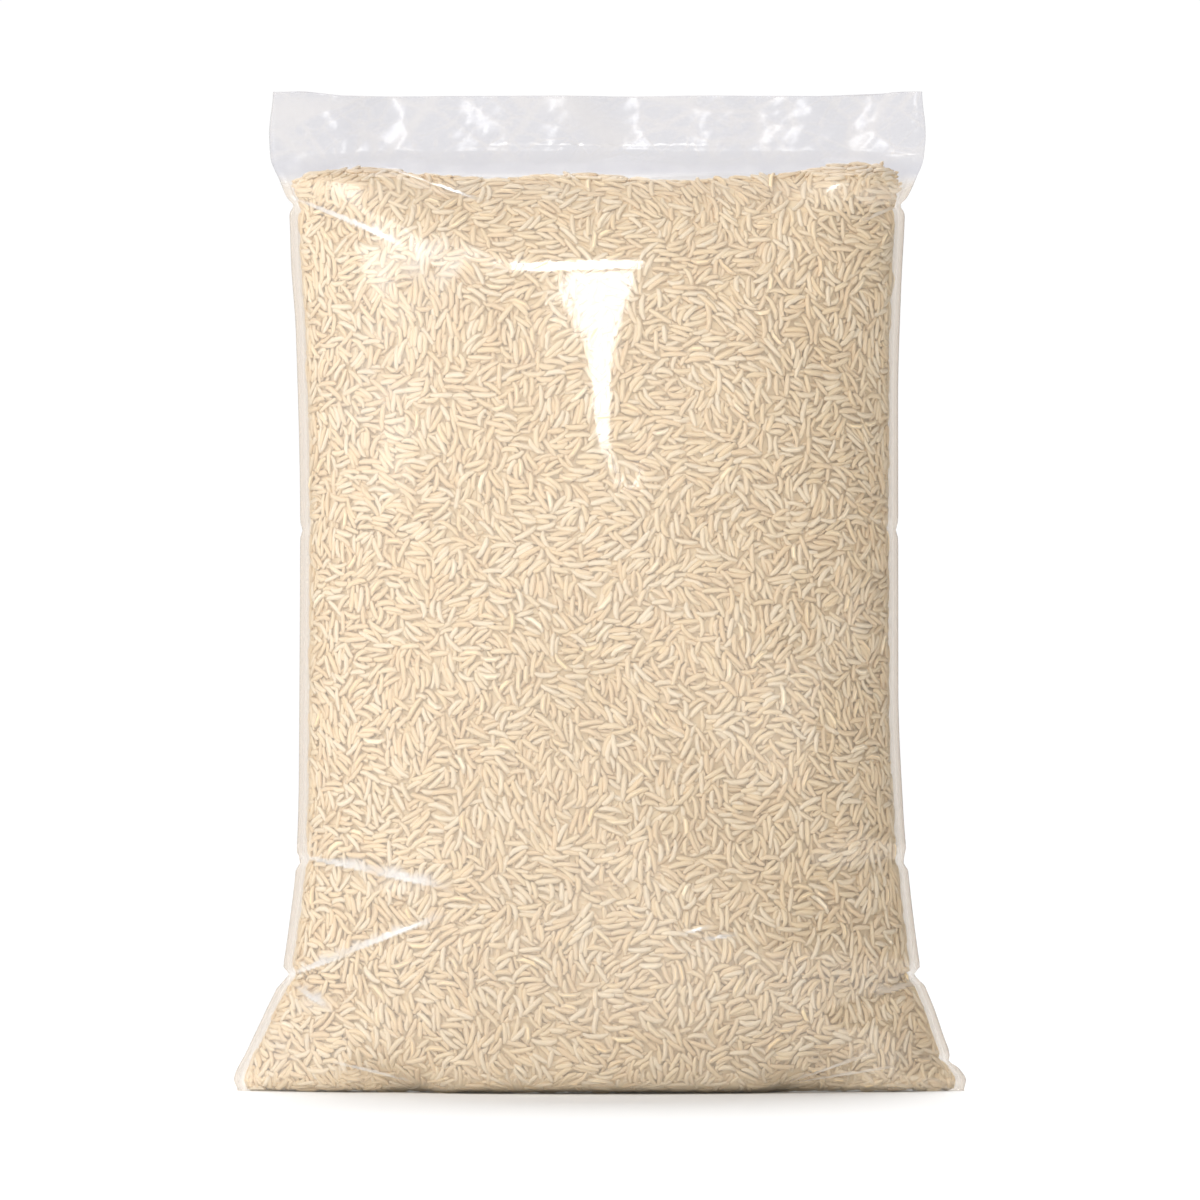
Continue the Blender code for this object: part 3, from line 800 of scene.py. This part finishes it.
def riceMaterial(name, dark, pale, chalk):
    material, tree, output = newMaterial(name)
    place = addNode(tree, "TexCoord").outputs["Object"]
    tone = addNode(tree, "Attribute", attribute_name="tone").outputs["Fac"]
    along = addNode(tree, "Attribute", attribute_name="along").outputs["Fac"]
    base = addNode(tree, "Mix", {"Factor": tone, "A": dark, "B": pale}, data_type="RGBA").outputs["Result"]
    cloud = addNode(tree, "TexNoise", {"Vector": place, "Scale": 900, "Detail": 2}).outputs["Fac"]
    spot = addNode(tree, "MapRange", {"Value": cloud, "From Min": 0.52, "From Max": 0.72, "To Max": chalk})
    milky = addNode(tree, "Mix", {"Factor": spot.outputs["Result"], "A": base,
                                  "B": (0.97, 0.92, 0.83, 1)}, data_type="RGBA").outputs["Result"]
    tips = addNode(tree, "MapRange", {"Value": along, "From Min": 0.36, "From Max": 0.5, "To Max": 0.3})
    colour = addNode(tree, "Mix", {"Factor": tips.outputs["Result"], "A": milky,
                                   "B": (0.88, 0.71, 0.46, 1)}, data_type="RGBA").outputs["Result"]
    grain = addNode(tree, "TexNoise", {"Vector": place, "Scale": 2600, "Detail": 1}).outputs["Fac"]
    bump = addNode(tree, "Bump", {"Strength": 0.3, "Distance": 0.00008, "Height": grain}).outputs["Normal"]
    shader = addNode(tree, "BsdfPrincipled", {
        "Base Color": colour, "Roughness": 0.5, "Normal": bump, "Specular IOR Level": 0.25,
    })
    tree.links.new(shader.outputs["BSDF"], output.inputs["Surface"])
    return material


riceKinds = {
    "riceCream": {"share": 0.35, "dark": (0.92, 0.73, 0.47, 1), "pale": (0.95, 0.79, 0.55, 1), "chalk": 0.1},
    "riceIvory": {"share": 0.34, "dark": (0.94, 0.78, 0.55, 1), "pale": (0.96, 0.83, 0.63, 1), "chalk": 0.3},
    "riceGold": {"share": 0.31, "dark": (0.90, 0.70, 0.45, 1), "pale": (0.93, 0.76, 0.53, 1), "chalk": 0.08},
}


core = {
    "columns": 320,                                  # round the heap
    "rows": 230,
    "depth": 0.0013,                                 # behind the film, between the first grains
    "relief": 0.0005,
    "dimplesPerMetre": 420,
    "foot": 0.0006,
    "topClear": 0.0026,                              # below the heap's edge, for the grains that lie on top
    "sideClear": 0.0008,
    "heapHalf": 0.088,
    "leastHalf": 0.0002,                             # half its thickness where the bag is flat
}


def makeCore():                                      # the rice behind the loose grains, dimpled like them
    mesh = bmesh.new()
    bmesh.ops.create_grid(mesh, x_segments=core["columns"], y_segments=core["rows"], size=1)
    around, share = gridPlaces(mesh)
    front = around <= 0
    u = np.where(front, around + 1, 1 - around)
    side = np.where(u < 0, -1.0, 1.0)
    swing = np.sin(math.pi / 2 * np.abs(u))
    heap = curveThrough(rice["heapTop"], side * core["heapHalf"] * swing)
    z = core["foot"] + share * (heap - core["topClear"] - core["foot"])
    inner = reachAt(side, z) - bagForm["lipReach"]
    x = side * (inner - core["sideClear"] - nipAt(side, z)) * swing
    places = zip(x, front, z, strict=True)
    dimple = np.array([noise.noise(Vector(place) * core["dimplesPerMetre"]) for place in places])
    deep = core["depth"] + core["relief"] * (1 + dimple)
    thin = core["leastHalf"] * np.cos(math.pi / 2 * np.abs(u))
    for face, mine in ((-1, front), (1, ~front)):
        depth = bodyDepth(face, side * inner * swing, inner, z) - deep
        y = face * np.maximum(depth, thin) + headerSway(x, z)
        mesh.verts.ensure_lookup_table()
        for index in np.flatnonzero(mine):
            mesh.verts[index].co = (x[index], y[index], z[index])
    return closeUp(mesh, "riceCore")


def coreMaterial():
    material, tree, output = newMaterial("riceBehind")
    place = addNode(tree, "TexCoord").outputs["Object"]
    bend = addNode(tree, "TexNoise", {"Vector": place, "Scale": 60}).outputs["Color"]
    bent = addNode(tree, "Mix", {"Factor": 0.02, "A": place, "B": bend}, data_type="VECTOR")
    cells = addNode(tree, "TexVoronoi", {"Vector": bent.outputs["Result"], "Scale": 380}, feature="F1")
    # painted shading: the dimples' colour darkens from their middles to their recessed edges
    colour = addNode(tree, "ValToRGB", {"Fac": cells.outputs["Distance"]})
    colour.color_ramp.elements[0].color = (0.96, 0.82, 0.58, 1)
    colour.color_ramp.elements[1].color = (0.93, 0.75, 0.48, 1)
    bump = addNode(tree, "Bump", {"Strength": 0.4, "Distance": 0.0006, "Height": cells.outputs["Distance"]},
                   invert=True)
    shader = addNode(tree, "BsdfPrincipled", {"Base Color": colour.outputs["Color"], "Roughness": 0.6,
                                              "Normal": bump.outputs["Normal"]})
    tree.links.new(shader.outputs["BSDF"], output.inputs["Surface"])
    return material


addPiece("riceCore", makeCore(), coreMaterial())
print("core made")


def addGrains(name, kind, chosen, shapes):
    mesh = joinGrains(name, grains, chosen, shapes, random)
    addPiece(name, mesh, riceMaterial(name, kind["dark"], kind["pale"], kind["chalk"]))
    print(name, len(mesh.polygons), "triangles")


fronts = layGrains(makePanel(-1), rice["frontCount"], 11)
backs = layGrains(makePanel(1), rice["backCount"], 23)
tops = layGrains(makeTopPanel(), rice["topCount"], 31)
grains = {key: np.concatenate([fronts[key], backs[key], tops[key]]) for key in fronts}
hands = [np.full(len(laid["depth"]), hand) for laid, hand in ((fronts, 1.0), (backs, -1.0), (tops, 1.0))]
grains["hand"] = np.concatenate(hands)
print("grains laid, front, back and top:", [len(laid["depth"]) for laid in (fronts, backs, tops)])
random = np.random.default_rng(5)
near = np.flatnonzero(grains["depth"] < rice["nearDepth"])
far = np.flatnonzero(grains["depth"] >= rice["nearDepth"])
print("near", len(near), "far", len(far))
fineShapes = [grainShape(5, 5, bend) for bend in rice["bends"]]
plainShapes = [grainShape(4, 4, bend) for bend in rice["bends"]]
near = random.permutation(near)
ends = np.round(np.cumsum([kind["share"] for kind in riceKinds.values()]) * len(near)).astype(int)
for (name, kind), chosen in zip(riceKinds.items(), np.split(near, ends[:-1]), strict=True):
    addGrains(name, kind, chosen, fineShapes)
deepPale, deepGold = np.array_split(random.permutation(far), 2)
addGrains("riceDeepPale", riceKinds["riceCream"], deepPale, plainShapes)
addGrains("riceDeepGold", riceKinds["riceGold"], deepGold, plainShapes)

# Studio
studio = {
    "frameWidth": 0.348,                             # what the photo's frame spans at the bag
    "distance": 2.3,
    "cameraHeight": 0.085,
    "aimHeight": 0.1421,
    "floorColour": (0.93, 0.93, 0.93, 1),
    "brightWay": (-0.79, -0.59, 0.15),               # the air is brightest this way
    "brightest": 1.13,
    "dimmest": 0.02,
    "dimFrom": -0.28,                                # share of that way at which the air is dimmest
    "backdrop": 1.02,
    "backdropEdge": (0.85, 0.95),                    # share of the way back where it starts, and is full
    # lights as (name, place, aim, width, height, watts)
    "lights": (
        ("softLeft", (-0.58, -1.14, 1.22), (-0.05, 0, 0.238), 0.36, 0.30, 1.5),
        ("wideLeft", (-1.02, -0.95, 0.90), (-0.06, 0, 0.10), 0.45, 1.00, 3.0),
        ("boxTop", (-0.03, -1.00, 1.15), (0, 0, 0.24), 0.24, 0.13, 1.4),
        ("boxTall", (0.0, -1.35, 0.78), (0, 0, 0.21), 0.16, 0.84, 4.2),
    ),
    "sunStrength": 2.6,
    "sunSpread": 60,
    "sunTilt": -42,                                  # degrees: it comes from above and behind
}


def makeStudio():
    mesh = bmesh.new()
    bmesh.ops.create_grid(mesh, x_segments=1, y_segments=1, size=12)
    data = bpy.data.meshes.new("floor")
    mesh.to_mesh(data)
    mesh.free()
    floor = bpy.data.objects.new("floor", data)
    bpy.context.scene.collection.objects.link(floor)
    material, tree, output = newMaterial("paleFloor")
    shader = addNode(tree, "BsdfPrincipled", {"Base Color": studio["floorColour"], "Roughness": 0.7,
                                              "Specular IOR Level": 0.2})
    tree.links.new(shader.outputs["BSDF"], output.inputs["Surface"])
    data.materials.append(material)
    world = bpy.data.worlds.new("studioAir")
    bpy.context.scene.world = world
    world.use_nodes = True
    tree = world.node_tree
    tree.nodes.clear()
    direction = addNode(tree, "TexCoord").outputs["Generated"]
    toLight = addNode(tree, "VectorMath", {0: direction, 1: studio["brightWay"]}, operation="DOT_PRODUCT")
    side = addNode(tree, "MapRange", {"Value": toLight.outputs["Value"], "From Min": studio["dimFrom"],
                                      "To Min": studio["dimmest"], "To Max": studio["brightest"]},
                   interpolation_type="SMOOTHSTEP")
    behind = addNode(tree, "SeparateXYZ", {"Vector": direction}).outputs["Y"]
    start, full = studio["backdropEdge"]
    back = addNode(tree, "MapRange", {"Value": behind, "From Min": start, "From Max": full})
    level = addNode(tree, "Mix", {"Factor": back.outputs["Result"], "A": side.outputs["Result"],
                                  "B": studio["backdrop"]}, data_type="FLOAT")
    air = addNode(tree, "Background", {"Color": (1, 1, 1, 1), "Strength": level.outputs["Result"]})
    tree.links.new(air.outputs["Background"], addNode(tree, "OutputWorld").inputs["Surface"])
    for name, place, aim, width, height, watts in studio["lights"]:
        lamp = bpy.data.lights.new(name, "AREA")
        lamp.shape = "RECTANGLE"
        lamp.size, lamp.size_y, lamp.energy = width, height, watts
        light = bpy.data.objects.new(name, lamp)
        light.location = place
        light.rotation_euler = (Vector(aim) - Vector(place)).to_track_quat("-Z", "Y").to_euler()
        bpy.context.scene.collection.objects.link(light)
    lamp = bpy.data.lights.new("overheadSoft", "SUN")
    lamp.energy, lamp.angle = studio["sunStrength"], math.radians(studio["sunSpread"])
    light = bpy.data.objects.new("overheadSoft", lamp)
    light.rotation_euler = (math.radians(studio["sunTilt"]), 0, 0)
    bpy.context.scene.collection.objects.link(light)
    camera = bpy.data.cameras.new("photoCamera")
    camera.sensor_width = 36
    camera.clip_end = 60
    eye = bpy.data.objects.new("photoCamera", camera)
    eye.location = (0, -studio["distance"], studio["cameraHeight"])
    toAim = Vector((0, 0, studio["aimHeight"])) - eye.location
    camera.lens = camera.sensor_width * toAim.length / studio["frameWidth"]
    eye.rotation_euler = toAim.to_track_quat("-Z", "Y").to_euler()
    bpy.context.scene.collection.objects.link(eye)
    bpy.context.scene.camera = eye
    bpy.context.scene.view_settings.view_transform = "Standard"


makeStudio()
print("studio made")
